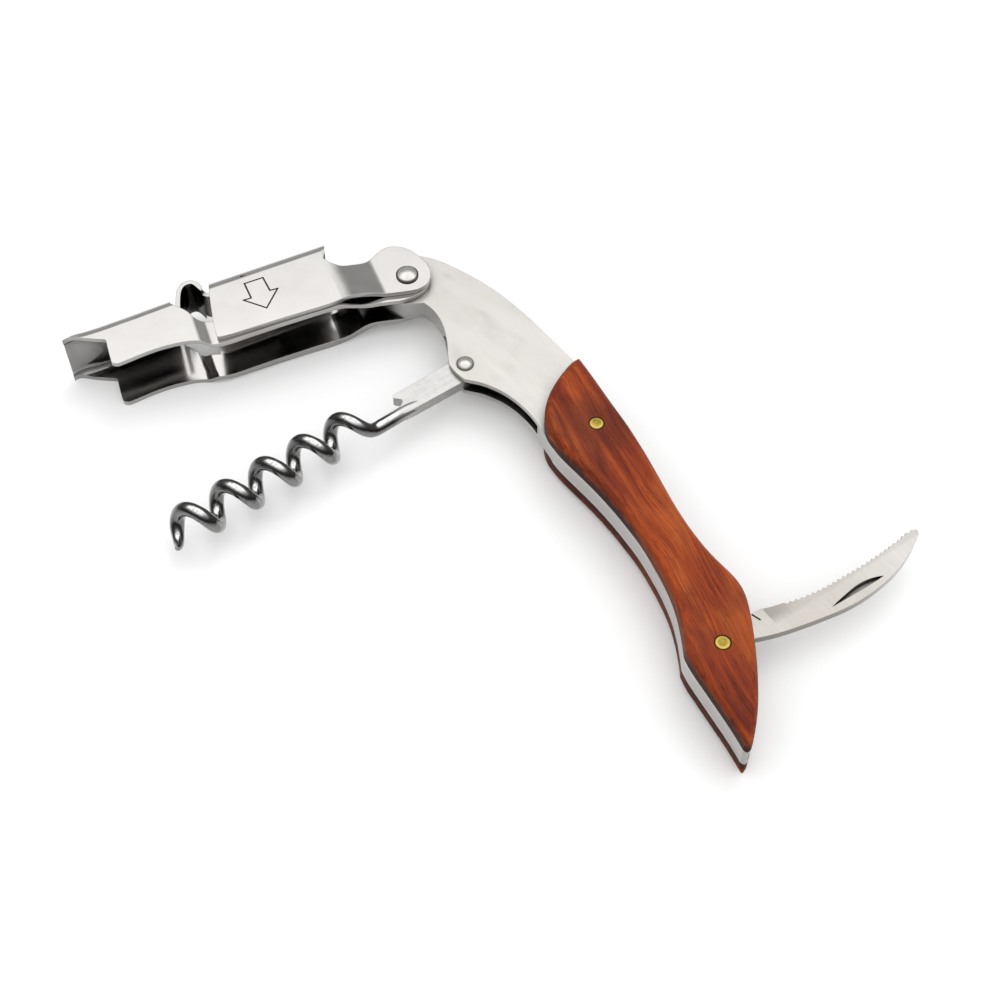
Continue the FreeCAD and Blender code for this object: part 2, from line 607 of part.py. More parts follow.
def make_arm():
    profile = [
        ("curve", ARM_SPINE),
        ("line", [ARM_SPINE[-1], ARM_CUT[-1]]),
        ("curve", ARM_CUT[::-1]),
        ("curve", ARM_TOP[::-1]),
        ("curve", ARM_LUG[::-1]),
        ("curve", ARM_LOW[::-1]),
        ("curve", [(-69.1, 26.1), (-69.75, 25.98), (-70.35, 26.2), (-70.7, 26.8)]),
        ("curve", [(-70.7, 26.8), (-71.5, 29.1), (-72.15, 31.2)]),
        ("curve", [(-72.15, 31.2), (-72.35, 31.55), (-72.7, 31.72)]),
        ("curve", ARM_FOOT_LOW[::-1]),
        ("line", [ARM_FOOT_LOW[0], ARM_SPINE[0]])]
    # distances from the pivot where the two steps in width start and end
    nest_start, nest_end, neck_start, neck_end = 41.5, 39.0, 15.2, 8.0
    levels = [
        ("line", [(75.0, WIDE), (nest_start, WIDE)]),
        ("curve", jog(nest_start, WIDE, nest_end, NEST, 0.4, 0.4)),
        ("line", [(nest_end, NEST), (neck_start, NEST)]),
        ("curve", jog(neck_start, NEST, neck_end, ARM_NECK, 0.35, 0.35)),
        ("line", [(neck_end, ARM_NECK), (-12.0, ARM_NECK)])]
    return folded_sheet(levels, ARM_DIR, profile,
                        spine=[(-83.5, 31.3)] + ARM_SPINE + [(-58.0, 44.43)],
                        closing=[(-5.0, 71.7), (-5.0, 15.0)],
                        core_closing=[(-4.0, 70.5), (-4.0, 14.0)], radius=ARM_BEND_R)


# ---- sleeve, side profile (x, y) --------------------------------------------
SLEEVE_DIR = 202.0          # direction of the sleeve from the pivot, degrees
SLEEVE_BEND_R = 3.0         # outer radius of the folded spine
SPINE_SLOPE = (55.6 - 46.1) / (54.95 - 35.0)


def spine_point(x):
    """Point on the sleeve's straight spine, on its outer face."""
    return (x, 47.12 + SPINE_SLOPE * (x + 54.95))


SLEEVE_SPINE = [spine_point(-55.1), spine_point(-35.3)]
SLEEVE_LEFT = [
    SLEEVE_SPINE[0], (-54.6, 43.8), (-54.15, 41.3), (-53.65, 38.85), (-53.1, 36.4),
    (-52.5, 34.0), (-52.15, 32.9)]
SLEEVE_LOW = [
    (-51.3, 32.4), (-49.65, 32.95), (-47.85, 33.7), (-46.1, 34.45), (-44.3, 35.2),
    (-42.5, 35.98), (-40.7, 36.75), (-38.9, 37.5), (-37.1, 38.25), (-35.3, 38.98),
    (-33.5, 39.7), (-31.7, 40.5), (-30.0, 41.45), (-28.2, 42.5), (-26.3, 43.45),
    (-24.5, 44.15), (-22.65, 44.6), (-20.8, 44.9), (-18.9, 45.2), (-17.0, 45.55),
    (-15.7, 45.9)]
SLEEVE_LUG = [
    (-15.7, 45.9), (-14.7, 46.5), (-13.85, 47.4), (-13.35, 48.6), (-13.25, 50.0),
    (-13.6, 51.5), (-14.3, 52.85), (-15.3, 54.1), (-16.3, 55.1), (-17.3, 55.95),
    (-18.3, 56.5), (-19.25, 56.8), (-20.2, 56.93), (-21.15, 56.87), (-22.1, 56.55),
    (-23.0, 55.9), (-23.95, 54.75), (-24.9, 53.45), (-25.8, 52.45), (-26.8, 51.78),
    (-28.6, 50.95), (-30.45, 50.35), (-31.4, 50.55), (-32.4, 50.95), (-33.3, 51.6),
    (-33.75, 52.4)]
SLEEVE_LIP = [
    (-33.75, 52.4), (-33.75, 53.5), (-33.65, 54.7), (-33.75, 55.7), (-34.1, 56.45),
    (-34.65, 56.75), SLEEVE_SPINE[1]]
# arrow outline engraved on the front cheek
ARROW = [
    (-48.1, 45.45), (-44.75, 47.0), (-43.15, 43.75), (-41.75, 44.25), (-43.4, 39.4),
    (-47.9, 41.3), (-46.5, 41.85)]
ARROW_LINE = 0.26
ARROW_DEPTH = 0.14

# leaf spring and its rivet
SPRING_T = 0.85
SPRING_HALF = 4.0           # half width
SPRING_HALF_TOP = 2.95      # half width where it lies under the spine
SPRING_RIVET_R = 0.8
SPRING_HEAD_R = 1.4
SPRING_RIVET_AT = Vec(*spine_point(-47.6), 0)
SPRING_FACE = -SHEET - 0.07 - SPRING_T    # spring's lower face, from the spine's outer face
SPRING_MIDDLE = [
    (-60.3, 40.35), (-60.5, 41.5), (-60.66, 42.9), (-60.76, 44.3), (-60.72, 45.7),
    (-60.3, 46.9), (-59.45, 47.62), (-58.5, 47.72), (-57.55, 47.1), (-56.7, 46.22),
    (-55.7, 45.5), (-54.7, 45.56), (-53.3, 46.26), (-51.5, 47.18), (-49.0, 48.38),
    (-46.5, 49.57), (-44.5, 50.52)]


def spine_cylinder(radius, start, end):
    """Cylinder square to the spine at the spring's rivet."""
    slope = math.atan(SPINE_SLOPE)
    normal = Vec(-math.sin(slope), math.cos(slope), 0)
    return Part.makeCylinder(radius, end - start, SPRING_RIVET_AT + normal * start, normal)


def outline_groove(points, width, z_top, depth):
    groove = None
    for a, b in zip(points, points[1:] + points[:1]):
        length = math.hypot(b[0] - a[0], b[1] - a[1])
        box = Part.makeBox(length + width, width, depth + 1.0, Vec(-width / 2, -width / 2, 0))
        box.rotate(Vec(0, 0, 0), Vec(0, 0, 1), math.degrees(math.atan2(b[1] - a[1], b[0] - a[0])))
        box.translate(Vec(a[0], a[1], z_top - depth))
        groove = box if groove is None else groove.fuse(box)
    return groove


def make_sleeve():
    profile = [
        ("line", SLEEVE_SPINE),
        ("curve", SLEEVE_LIP[::-1]),
        ("curve", SLEEVE_LUG[::-1]),
        ("curve", SLEEVE_LOW[::-1]),
        ("curve", [SLEEVE_LOW[0], (-51.85, 32.42), SLEEVE_LEFT[-1]]),
        ("curve", SLEEVE_LEFT[::-1])]
    neck_start, neck_end = 13.9, 5.0
    levels = [
        ("line", [(50.0, WIDE), (neck_start, WIDE)]),
        ("curve", jog(neck_start, WIDE, neck_end, SLEEVE_NECK, 0.28, 0.10, 22)),
        ("line", [(neck_end, SLEEVE_NECK), (-12.0, SLEEVE_NECK)])]
    sleeve = folded_sheet(levels, SLEEVE_DIR, profile,
                          spine=[spine_point(-64.0), spine_point(-5.0)],
                          closing=[(-5.0, 20.0)], core_closing=[(-4.0, 19.0)],
                          radius=SLEEVE_BEND_R)
    sleeve = sleeve.cut(outline_groove(ARROW, ARROW_LINE, WIDE, ARROW_DEPTH))
    return sleeve.cut(spine_cylinder(SPRING_RIVET_R + SNUG, -3, 3))


def make_spring():
    middle = curve_through(SPRING_MIDDLE)
    first, last, count = middle.FirstParameter, middle.LastParameter, 90
    upper, lower = [], []
    for i in range(count + 1):
        parameter = first + (last - first) * i / count
        point = middle.value(parameter)
        tangent = middle.tangent(parameter)[0]
        dx, dy = -tangent.y * SPRING_T / 2, tangent.x * SPRING_T / 2
        upper.append((point.x + dx, point.y + dy))
        lower.append((point.x - dx, point.y - dy))
    spring = prism([
        ("curve", upper), ("line", [upper[-1], lower[-1]]),
        ("curve", lower[::-1]), ("line", [lower[0], upper[0]])], -SPRING_HALF, SPRING_HALF)
    # narrower under the spine
    under_spine = [(-56.6, 40.0), (-40.0, 40.0), (-40.0, 60.0), (-56.6, 60.0), (-56.6, 40.0)]
    for z0, z1 in ((SPRING_HALF_TOP, 9.0), (-9.0, -SPRING_HALF_TOP)):
        spring = spring.cut(prism([("line", under_spine)], z0, z1))
    return spring.cut(spine_cylinder(SPRING_RIVET_R + SNUG, -3, 3))


def make_spring_rivet():
    """Nearly flush outside, with a flat head below the spring."""
    head_top = SPRING_FACE - 0.07
    shank = spine_cylinder(SPRING_RIVET_R, head_top, -0.02)
    head = spine_cylinder(SPRING_HEAD_R, SPRING_FACE - 0.45, head_top)
    return shank.fuse(head).removeSplitter()


# ---------------------------------------------------------------------------
# worm: flat tang, straight shank along its lower edge, right-handed helix.
# Distances t run along the axis from the worm's rivet.
# ---------------------------------------------------------------------------
WIRE_R = 1.32
SHANK_START_R = 1.06        # thin start of the wire, in the tang
TIP_R = 0.30
COIL_R = 2.75               # radius of the wire's centre line
PITCH = 8.08
WORM_DIR = 217.5            # direction of the coil's axis, degrees
WORM_OFFSET = 1.7           # coil axis stands off the rivet's centre
TANG_DIR = 216.2            # direction of the flat tang, degrees
TANG_W = 2.45               # its half width
TANG_END_R = 2.6            # its round end about the rivet
TANG_T = 1.1                # its half thickness

WIRE_START, WIRE_FULL = 10.5, 14.5     # the wire thickens between these
SHANK_END = 18.0                       # the shank swings in up to here
RAMP_START, RAMP_END = 19.9, 25.8      # the shank winds up into the helix here
WORM_END = 62.7                        # tip
TIP_CURL = 6.0                         # the coil tightens over this last length
TIP_GRIND = 2.7                        # the wire is ground to a point over this one
RING_POINTS = 12                       # points on a wire section
LOFT_SPANS = 8                         # sections skinned at a time

WORM_AXIS = Vec(math.cos(math.radians(WORM_DIR)), math.sin(math.radians(WORM_DIR)), 0)
WORM_SIDE = Vec(WORM_AXIS.y, -WORM_AXIS.x, 0)    # up and to the left
WORM_ORIGIN = Vec(*WORM, 0)
UP = Vec(0, 0, 1)


def make_tang():
    angle = math.radians(TANG_DIR)
    dx, dy = math.cos(angle), math.sin(angle)

    def at(points):
        """(t, n) to (x, y); n is measured up and to the left of the tang's line."""
        return [(WORM[0] + dx * t + dy * n, WORM[1] + dy * t - dx * n) for t, n in points]

    diagonal = 1.84
    outline = [
        ("line", [(0, -TANG_END_R), (13.0, -TANG_W)]),
        ("curve", [(13.0, -TANG_W), (14.6, -2.35), (15.8, -2.0), (16.3, -1.4)]),
        ("curve", [(16.3, -1.4), (15.2, -0.6), (14.2, -0.1), (13.75, 0.35)]),
        ("curve", [(13.75, 0.35), (14.2, 1.2), (14.75, 1.95), (14.45, TANG_W)]),
        ("line", [(14.45, TANG_W), (0, TANG_END_R)]),
        ("curve", [(0, TANG_END_R), (-diagonal, diagonal), (-TANG_END_R, 0),
                   (-diagonal, -diagonal), (0, -TANG_END_R)])]
    return prism([(kind, at(points)) for kind, points in outline], -TANG_T, TANG_T)


def phase(t):
    """Helix angle at t; pi on the straight shank."""
    turn = 2 * math.pi / PITCH
    if t <= RAMP_START:
        return math.pi
    if t >= RAMP_END:
        return math.pi + turn * (t - 0.5 * (RAMP_START + RAMP_END))
    width = RAMP_END - RAMP_START
    share = (t - RAMP_START) / width
    return math.pi + turn * width * (share ** 3 - 0.5 * share ** 4)


def wire_centre(t):
    radius = COIL_R
    if t < SHANK_END:
        swing = (SHANK_END - t) / 9.0
        radius = COIL_R + 0.12 * swing * swing
        return WORM_ORIGIN + WORM_AXIS * t + WORM_SIDE * (WORM_OFFSET - radius)
    if t > WORM_END - TIP_CURL:
        radius = COIL_R - 0.25 * ((t - (WORM_END - TIP_CURL)) / TIP_CURL) ** 2
    angle = phase(t)
    return (WORM_ORIGIN + WORM_AXIS * t + WORM_SIDE * (WORM_OFFSET + radius * math.cos(angle))
            - UP * (radius * math.sin(angle)))


def wire_radius(t):
    if t < WIRE_FULL:
        share = (t - WIRE_START) / (WIRE_FULL - WIRE_START)
        return SHANK_START_R + (WIRE_R - SHANK_START_R) * share
    if t > WORM_END - TIP_GRIND:
        return TIP_R + (WIRE_R - TIP_R) * ((WORM_END - t) / TIP_GRIND) ** 0.62
    return WIRE_R


def wire_section(t):
    """Closed round section of the wire, square to its centre line."""
    step = 0.01
    centre = wire_centre(t)
    tangent = wire_centre(t + step) - wire_centre(t - step)
    tangent.normalize()
    angle = phase(t)
    outward = WORM_SIDE * math.cos(angle) - UP * math.sin(angle)
    outward = outward - tangent * outward.dot(tangent)
    outward.normalize()
    sideways = tangent.cross(outward)
    radius = wire_radius(t)
    turns = [2 * math.pi * i / RING_POINTS for i in range(RING_POINTS)]
    ring = Part.BSplineCurve()
    ring.interpolate([centre + outward * (radius * math.cos(turn))
                      + sideways * (radius * math.sin(turn)) for turn in turns],
                     PeriodicFlag=True)
    return Part.Wire([ring.toShape()])


def make_worm():
    stations = [WIRE_START, 12.5, WIRE_FULL, 16.5, SHANK_END, 19.0]
    t = 19.7
    while t < WORM_END - 0.3:
        stations.append(t)
        t += 0.52 if t < WORM_END - 8 else 0.42
    stations.append(WORM_END)
    sections = [wire_section(t) for t in stations]

    # skinned in short lengths that share their end sections
    lengths = []
    last = len(sections) - 1
    i = 0
    while i < last:
        j = min(i + LOFT_SPANS, last)
        if last - j < 4:
            j = last
        lengths.append(Part.makeLoft(sections[i:j + 1], True, False))
        i = j
    return drill(make_tang().fuse(lengths), WORM, WORM_PIN_R + FREE, 3)


# ---------------------------------------------------------------------------
# build, place and write
# ---------------------------------------------------------------------------
front_scale = make_front_scale()
pieces = {
    "front_liner": make_liner(SLOT / 2, CORE),
    "back_liner": make_liner(-CORE, -SLOT / 2),
    "head_spacer": make_head_spacer(),
    "backspring": make_backspring(),
    "front_scale": front_scale,
    "back_scale": front_scale.mirror(Vec(0, 0, 0), Vec(0, 0, 1)),
    "head_pin": make_brass_pin(HEAD_PIN),
    "tail_pin": make_brass_pin(TAIL_PIN),
    "lever_rivet": make_rivet(LEVER, LEVER_PIN_R, half=SLEEVE_NECK + 0.04,
                              head_r=2.15, head_h=0.85),
    "worm_rivet": make_rivet(WORM, WORM_PIN_R, half=CORE + 0.01, head_r=1.62, head_h=0.8),
    "lever_arm": make_arm(),
    "push_sleeve": make_sleeve(),
    "sleeve_spring": make_spring(),
    "spring_rivet": make_spring_rivet(),
    "worm": make_worm(),
    "foil_knife": make_knife(),
    "knife_washers": make_washers(),
}

boxes = [piece.optimalBoundingBox() for piece in pieces.values()]
shift = Vec(-(min(box.XMin for box in boxes) + max(box.XMax for box in boxes)) / 2,
            -(min(box.YMin for box in boxes) + max(box.YMax for box in boxes)) / 2,
            -min(box.ZMin for box in boxes))
for name, piece in pieces.items():
    placed = piece.copy()
    placed.translate(shift)
    placed.exportStep("parts/%s.step" % name)
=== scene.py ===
"""Looks and studio for a folding corkscrew with rosewood scales, a lever and a foil knife.

It lies flat on a paper floor: its plane is XY and its thickness runs along Z. The viewer
stands on the -Y side and looks down. Geometry is in metres; shaders work in millimetres.
"""
import bpy, bmesh, math, json
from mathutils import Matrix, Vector


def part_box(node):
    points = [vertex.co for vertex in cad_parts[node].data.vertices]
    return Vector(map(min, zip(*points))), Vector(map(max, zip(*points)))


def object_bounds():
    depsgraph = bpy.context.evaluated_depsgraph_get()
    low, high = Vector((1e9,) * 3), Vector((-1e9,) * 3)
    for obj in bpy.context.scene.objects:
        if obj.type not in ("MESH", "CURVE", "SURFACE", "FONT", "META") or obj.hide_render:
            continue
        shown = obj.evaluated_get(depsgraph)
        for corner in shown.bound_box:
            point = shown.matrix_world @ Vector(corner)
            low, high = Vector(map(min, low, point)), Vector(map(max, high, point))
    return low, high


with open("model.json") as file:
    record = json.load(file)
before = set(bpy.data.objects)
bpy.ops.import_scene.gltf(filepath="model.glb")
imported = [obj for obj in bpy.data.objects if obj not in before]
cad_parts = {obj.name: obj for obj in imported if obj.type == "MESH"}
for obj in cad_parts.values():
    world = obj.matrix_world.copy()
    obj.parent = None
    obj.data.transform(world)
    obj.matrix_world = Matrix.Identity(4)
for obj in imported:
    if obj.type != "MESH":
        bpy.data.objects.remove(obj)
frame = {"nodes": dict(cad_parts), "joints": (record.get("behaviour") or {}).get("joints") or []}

CAD_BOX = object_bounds()
NODES = frame["nodes"]
HINGE = {joint["name"]: Vector(joint["pos_m"]) for joint in frame["joints"]}

MM = 1000.0                                        # millimetres in a metre
LEVER_DRAWN_X, LEVER_DRAWN_Y = -0.01768, 0.04949   # lever hinge in the drawing, m
# the drawing's origin, at mid thickness
ORIGIN = Vector((HINGE["lever_hinge"].x - LEVER_DRAWN_X,
                 HINGE["lever_hinge"].y - LEVER_DRAWN_Y,
                 (CAD_BOX[0].z + CAD_BOX[1].z) / 2))


def centre(node):
    low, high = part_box(node)
    return (low + high) / 2


def rivet_head(node):
    """Centre (m) and radius (mm) of a rivet's head."""
    low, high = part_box(node)
    return centre(node), (high.x - low.x) * MM / 2


def srgb(code):
    """Linear colour of a #rrggbb code."""
    values = [int(code[i:i + 2], 16) / 255.0 for i in (1, 3, 5)]
    return tuple(v / 12.92 if v <= 0.04045 else ((v + 0.055) / 1.055) ** 2.4 for v in values)


# ---------------------------------------------------------------------------
# node-building helpers: each method adds nodes and returns an output socket
# ---------------------------------------------------------------------------
class Graph:
    def __init__(self, tree):
        self.tree = tree
        tree.nodes.clear()

    def new(self, kind, **props):
        node = self.tree.nodes.new(kind)
        for key, value in props.items():
            setattr(node, key, value)
        return node

    def put(self, socket, value):
        """Link a socket, or set a plain value; None leaves the default."""
        if isinstance(value, bpy.types.NodeSocket):
            self.tree.links.new(value, socket)
        elif value is not None:
            socket.default_value = value

    def math(self, operation, *values):
        node = self.new("ShaderNodeMath", operation=operation)
        for socket, value in zip(node.inputs, values):
            self.put(socket, value)
        return node.outputs[0]

    def mul(self, first, *others):
        for other in others:
            first = self.math("MULTIPLY", first, other)
        return first

    def add(self, a, b):
        return self.math("ADD", a, b)

    def sub(self, a, b):
        return self.math("SUBTRACT", a, b)

    def above(self, value, limit):
        return self.math("GREATER_THAN", value, limit)

    def below(self, value, limit):
        return self.math("LESS_THAN", value, limit)

    def swing(self, noise, amount):
        """Noise centred on zero and scaled."""
        return self.mul(self.sub(noise, 0.5), amount)

    def vector_math(self, operation, a, b=None):
        node = self.new("ShaderNodeVectorMath", operation=operation)
        self.put(node.inputs[0], a)
        self.put(node.inputs[1], b)
        return node.outputs["Value" if operation in ("DISTANCE", "LENGTH") else "Vector"]

    def xyz(self, vector):
        node = self.new("ShaderNodeSeparateXYZ")
        self.put(node.inputs[0], vector)
        return node.outputs

    def ramp(self, factor, stops):
        """Colour ramp through (position, grey or RGB) stops."""
        node = self.new("ShaderNodeValToRGB")
        elements = node.color_ramp.elements
        elements.remove(elements[-1])
        for i, (position, color) in enumerate(stops):
            if not isinstance(color, tuple):
                color = (color,) * 3
            element = elements.new(position) if i else elements[0]
            element.position = position
            element.color = color + (1.0,)
        self.put(node.inputs[0], factor)
        return node.outputs[0]

    def remap(self, value, span, to=(0.0, 1.0), smooth=True):
        """Map span onto to, clamped at both ends."""
        node = self.new("ShaderNodeMapRange")
        node.interpolation_type = "SMOOTHSTEP" if smooth else "LINEAR"
        self.put(node.inputs["Value"], value)
        node.inputs["From Min"].default_value, node.inputs["From Max"].default_value = span
        node.inputs["To Min"].default_value, node.inputs["To Max"].default_value = to
        return node.outputs["Result"]

    def mix(self, factor, a, b, blend="MIX"):
        """a where the factor is 0, b where it is 1."""
        node = self.new("ShaderNodeMix", data_type="RGBA", blend_type=blend)
        self.put(node.inputs["Factor"], factor)
        # inputs 6 and 7 are the colour sockets A and B
        for socket, value in ((node.inputs[6], a), (node.inputs[7], b)):
            if isinstance(value, tuple):
                value += (1.0,)
            self.put(socket, value)
        return node.outputs[2]

    def tint(self, color, mask, strength, shade):
        """Shade over color where the mask is 1."""
        return self.mix(self.mul(mask, strength), color, shade)

    def wash(self, color, value, span, strength, shade, smooth=True):
        """Shade over color, growing to strength as the value crosses the span."""
        return self.mix(self.remap(value, span, to=(0.0, strength), smooth=smooth), color, shade)


class Material(Graph):
    INPUTS = {"color": "Base Color", "rough": "Roughness", "metal": "Metallic",
              "normal": "Normal", "spec": "Specular IOR Level"}

    def __init__(self, name):
        self.material = bpy.data.materials.new(name)
        self.material.use_nodes = True
        super().__init__(self.material.node_tree)
        output = self.new("ShaderNodeOutputMaterial")
        self.bsdf = self.new("ShaderNodeBsdfPrincipled")
        self.put(output.inputs[0], self.bsdf.outputs[0])

    def surface(self, **values):
        for key, value in values.items():
            self.put(self.bsdf.inputs[self.INPUTS[key]], value)
        return self.material

    def coords(self):
        """Object coordinates in millimetres."""
        self.texco = self.new("ShaderNodeTexCoord")
        node = self.new("ShaderNodeVectorMath", operation="SCALE")
        self.put(node.inputs[0], self.texco.outputs["Object"])
        node.inputs["Scale"].default_value = MM
        return node.outputs[0]

    def mapping(self, vector, shift=(0, 0, 0), turn=0, stretch=(1, 1, 1)):
        """Turned about Z (degrees) and shifted first, then stretched."""
        node = self.new("ShaderNodeMapping")
        self.put(node.inputs[0], vector)
        node.inputs["Rotation"].default_value = (0, 0, math.radians(turn))
        node.inputs["Location"].default_value = shift
        return self.vector_math("MULTIPLY", node.outputs[0], stretch)

    def noise(self, vector, scale=1.0, detail=2.0, rough=0.5):
        node = self.new("ShaderNodeTexNoise")
        self.put(node.inputs["Vector"], vector)
        node.inputs["Scale"].default_value = scale
        node.inputs["Detail"].default_value = detail
        node.inputs["Roughness"].default_value = rough
        return node.outputs[0]

    def streaks(self, vector, stretch, detail=2.0, rough=0.5, turn=None, shift=(0, 0, 0)):
        """Noise with its own frequency per axis, in a frame turned by turn degrees."""
        if turn is not None:
            vector = self.mapping(vector, turn=turn)
        return self.noise(self.mapping(vector, shift, stretch=stretch), 1.0, detail, rough)

    def bump(self, height, depth, normal=None):
        """depth in mm"""
        node = self.new("ShaderNodeBump")
        node.inputs["Strength"].default_value = 1.0
        node.inputs["Distance"].default_value = depth / MM
        self.put(node.inputs["Height"], height)
        self.put(node.inputs["Normal"], normal)
        return node.outputs[0]

    def bevel(self, radius, samples=6):
        """radius in mm"""
        node = self.new("ShaderNodeBevel", samples=samples)
        node.inputs["Radius"].default_value = radius / MM
        return node.outputs[0]

    def openness(self, reach, span, samples, local=True):
        """0 deep inside hollows, 1 in the open; reach in mm. The materials use it to paint shade
        into hollows.
        """
        node = self.new("ShaderNodeAmbientOcclusion", samples=samples, only_local=local)
        node.inputs["Distance"].default_value = reach / MM
        return self.remap(node.outputs["AO"], span)

    def distance(self, vector, place):
        """Distance in XY, mm, from a place in metres."""
        flat = self.vector_math("MULTIPLY", vector, (1, 1, 0))
        return self.vector_math("DISTANCE", flat, (place[0] * MM, place[1] * MM, 0.0))


# ---------------------------------------------------------------------------
# rosewood
# ---------------------------------------------------------------------------
GRAIN = -66.0                # direction of the grain in XY, degrees
WAIST_HEAD = (-6.0, -14.0)   # fade into the waist from its +Y end, drawing y, mm
WAIST_TAIL = (-36.0, -31.0)  # fade into the waist from its -Y end
LINER_FACE = 2.1             # height of the scale's inner face above mid thickness, mm
SCALE_THICK = 3.8
HEART_FADE = (9.0, 3.0)      # distance from the head pin, mm


def rosewood(name, seed):
    mat = Material(name)
    point = mat.coords()
    # X runs along the grain, and the seed picks a place in the wood
    turned = mat.mapping(point, shift=(seed * 17.3, seed * 5.1, seed * 3.7), turn=-GRAIN)
    # the fibres wander sideways
    wave = mat.streaks(turned, stretch=(0.030, 0.07, 0.07))
    wander = mat.swing(wave, 6.0)
    axes = mat.xyz(turned)
    combine = mat.new("ShaderNodeCombineXYZ")
    mat.put(combine.inputs[0], axes[0])
    mat.put(combine.inputs[1], mat.add(axes[1], wander))
    mat.put(combine.inputs[2], axes[2])
    along = combine.outputs[0]

    fibre = mat.streaks(along, stretch=(0.12, 5.5, 4.5), detail=5.0, rough=0.60)
    streak = mat.streaks(along, stretch=(0.030, 1.0, 0.7), detail=4.0, rough=0.58)
    broad = mat.streaks(along, stretch=(0.035, 0.22, 0.20))
    patch = mat.streaks(turned, stretch=(0.055, 0.13, 0.13), detail=3.0, rough=0.55)
    pore = mat.streaks(along, stretch=(0.55, 8.5, 8.5))
    base = mat.add(mat.mul(streak, 0.55), mat.mul(fibre, 0.45))
    color = mat.ramp(base, [(0.32, srgb("#642611")), (0.43, srgb("#853614")),
                            (0.50, srgb("#9c461b")), (0.57, srgb("#b0541f")),
                            (0.68, srgb("#c46a2e"))])
    red = mat.ramp(broad, [(0.36, srgb("#a85a48")), (0.52, srgb("#d8a894")),
                           (0.66, srgb("#ffffff"))])
    color = mat.mix(0.62, color, red, "MULTIPLY")
    amber = mat.streaks(turned, stretch=(0.045, 0.12, 0.12), shift=(31, 7, 3))
    amber = mat.remap(amber, span=(0.48, 0.64))
    color = mat.tint(color, amber, strength=0.45, shade=srgb("#b85c28"))

    # darker, redder patches and a heart round the head pin
    patches = mat.remap(patch, span=(0.50, 0.66))
    color = mat.tint(color, patches, strength=0.50, shade=srgb("#561b10"))
    from_pin = mat.distance(point, centre("head_pin"))
    heart = mat.remap(mat.add(from_pin, mat.swing(patch, 16.0)), span=HEART_FADE)
    color = mat.tint(color, heart, strength=0.62, shade=srgb("#541d12"))

    # fine dark lines along the grain, and pores
    line = mat.streaks(along, stretch=(0.02, 1.5, 1.0), detail=5.0, rough=0.55)
    line = mat.remap(line, span=(0.58, 0.70))
    color = mat.tint(color, line, strength=0.40, shade=srgb("#47170d"))
    pores = mat.remap(pore, span=(0.60, 0.70))
    color = mat.tint(color, pores, strength=0.40, shade=srgb("#3a130a"))

    # the rounded edges and side walls are darker in patches, less so round the waist: partly the
    # wood's own darker colour, partly painted shade on walls that face away from the light
    facing = mat.math("ABSOLUTE", mat.xyz(mat.texco.outputs["Normal"])[2])
    mottle = mat.noise(point, scale=0.42, detail=4.0, rough=0.6)
    edge = mat.remap(mat.add(facing, mat.swing(mottle, 1.1)), span=(0.80, 0.25))
    drawn_y = mat.sub(mat.xyz(point)[1], ORIGIN.y * MM)
    waist = mat.mul(mat.remap(drawn_y, span=WAIST_HEAD), mat.remap(drawn_y, span=WAIST_TAIL))
    # 0 at the liner, 1 at the outer face
    from_middle = mat.math("ABSOLUTE", mat.sub(mat.xyz(point)[2], ORIGIN.z * MM))
    height = mat.math("DIVIDE", mat.sub(from_middle, LINER_FACE), SCALE_THICK)
    low = mat.remap(mat.add(height, mat.swing(mottle, 0.9)), span=(0.72, 0.34), to=(0.30, 1.0))
    # the wall darkening is partly the wood's own colour, partly painted shade
    dark_wall_and_shade = mat.mul(edge, low, mat.math("MULTIPLY_ADD", waist, -0.30, 0.90))
    color = mat.mix(dark_wall_and_shade, color, srgb("#2a120b"))
    # painted shade: near black in hollows and creases, also where other parts come close
    in_open = mat.openness(reach=1.6, span=(0.35, 0.80), samples=5, local=False)
    color = mat.mix(in_open, srgb("#1c0c07"), color)

    relief = mat.sub(mat.mul(fibre, 0.5), mat.mul(pores, 1.0))
    rough = mat.add(mat.remap(fibre, span=(0.3, 0.7), to=(0.40, 0.52)), mat.mul(pores, 0.15))
    return mat.surface(color=color, rough=rough, normal=mat.bump(relief, depth=0.030),
                       spec=mat.remap(facing, span=(0.3, 0.9), to=(0.08, 0.20)))


# ---------------------------------------------------------------------------
# metals
# ---------------------------------------------------------------------------
def bolster(name):
    mat = Material(name)
    point = mat.coords()
    lines = mat.streaks(point, turn=52, stretch=(0.10, 7.0, 7.0), detail=4.0, rough=0.6)
    coarse = mat.streaks(point, turn=35, stretch=(0.06, 3.0, 3.0), detail=3.0, rough=0.55)
    cloud = mat.noise(point, scale=0.11, detail=4.0, rough=0.6)
    warmth = mat.noise(point, scale=0.16)
    sweep = mat.streaks(point, turn=38, stretch=(0.035, 0.22, 0.22), detail=3.0, rough=0.55)
    color = mat.ramp(cloud, [(0.34, (0.560, 0.532, 0.505)), (0.5, (0.665, 0.640, 0.618)),
                             (0.66, (0.735, 0.710, 0.688))])
    color = mat.wash(color, warmth, span=(0.44, 0.60), strength=0.50, shade=(0.67, 0.665, 0.60))
    color = mat.wash(color, sweep, span=(0.40, 0.62), strength=0.50, shade=(0.755, 0.730, 0.71))
    color = mat.wash(color, lines, span=(0.35, 0.65), strength=0.20, shade=(0.75, 0.735, 0.71))
    # painted shade: darker in hollows and where other parts come close
    in_open = mat.openness(reach=4.0, span=(0.30, 0.86), samples=6, local=False)
    color = mat.mix(in_open, (0.12, 0.115, 0.11), color)
    rough = mat.add(mat.remap(cloud, span=(0.3, 0.7), to=(0.30, 0.38)),
                    mat.remap(lines, span=(0.3, 0.7), to=(-0.04, 0.06)))
    normal = mat.bump(lines, depth=0.0045, normal=mat.bevel(radius=0.10))
    normal = mat.bump(coarse, depth=0.003, normal=normal)
    return mat.surface(color=color, rough=rough, metal=1.0, normal=normal)


